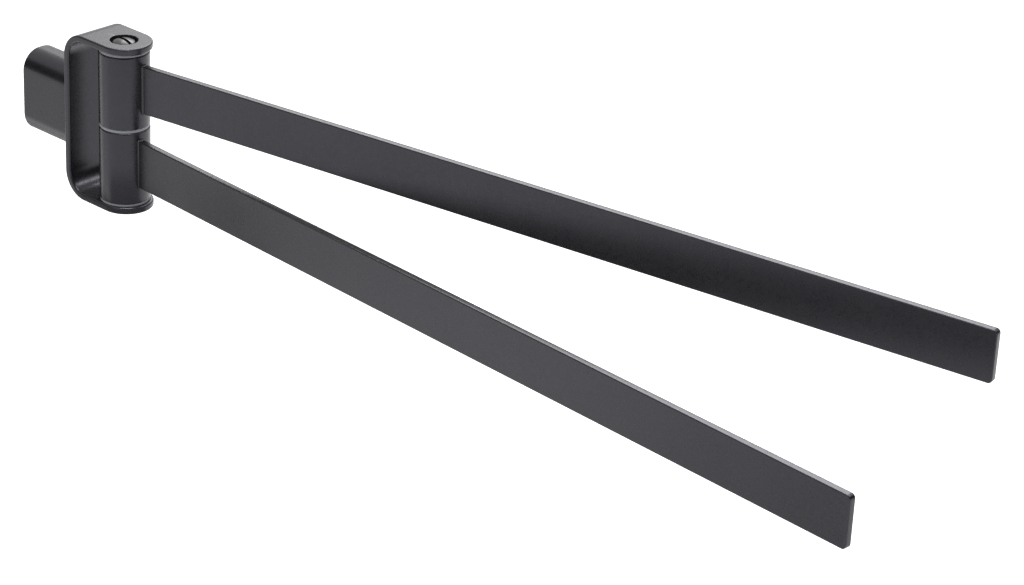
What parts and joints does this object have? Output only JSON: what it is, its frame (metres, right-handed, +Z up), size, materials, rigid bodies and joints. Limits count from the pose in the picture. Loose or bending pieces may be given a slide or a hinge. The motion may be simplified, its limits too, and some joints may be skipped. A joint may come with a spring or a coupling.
{
  "type": "two-arm swivel towel holder",
  "caption": "Wall-mounted towel holder with flat arms that swivel one above the other in a C-shaped bracket on a short post.",
  "frame": {"origin": "middle of the face that rests on the wall, midway between the two wall screws", "axes": "+Z up, +Y into the wall, +X along the wall; the arms stand out towards -Y"},
  "size_m": [0.0904, 0.4651, 0.0759],
  "materials": {
    "black_coat": "matt black powder coat with a fine grain",
    "dark_steel": "blackened steel, satin",
    "plain_steel": "zinc-plated steel",
    "cast_zinc": "plain zinc casting",
    "nylon": "grey nylon"
  },
  "bodies": {
    "root": {"wall_plate": "cast_zinc", "wall_post": "black_coat", "grub_screw": "dark_steel", "bracket": "black_coat", "bracket_studs": "plain_steel", "stud_washers": "plain_steel", "stud_nuts": "plain_steel", "pivot_screw": "dark_steel", "head_washer": "nylon", "mid_washer": "nylon", "foot_washer": "nylon", "disc_spring": "plain_steel"},
    "upper_swivel": {"upper_barrel": "black_coat", "upper_bushes": "nylon", "upper_arm": "black_coat"},
    "lower_swivel": {"lower_barrel": "black_coat", "lower_bushes": "nylon", "lower_arm": "black_coat"}
  },
  "joints": [
    {"name": "upper_arm_swivel", "type": "hinge", "parent": "root", "child": "upper_swivel", "pos_m": [0, -0.0553, 0.01705], "axis": [0, 0, 1], "range_deg": [-98.7, 81.3]},
    {"name": "lower_arm_swivel", "type": "hinge", "parent": "root", "child": "lower_swivel", "pos_m": [0, -0.0553, -0.01725], "axis": [0, 0, 1], "range_deg": [-86.5, 93.5]}
  ]
}
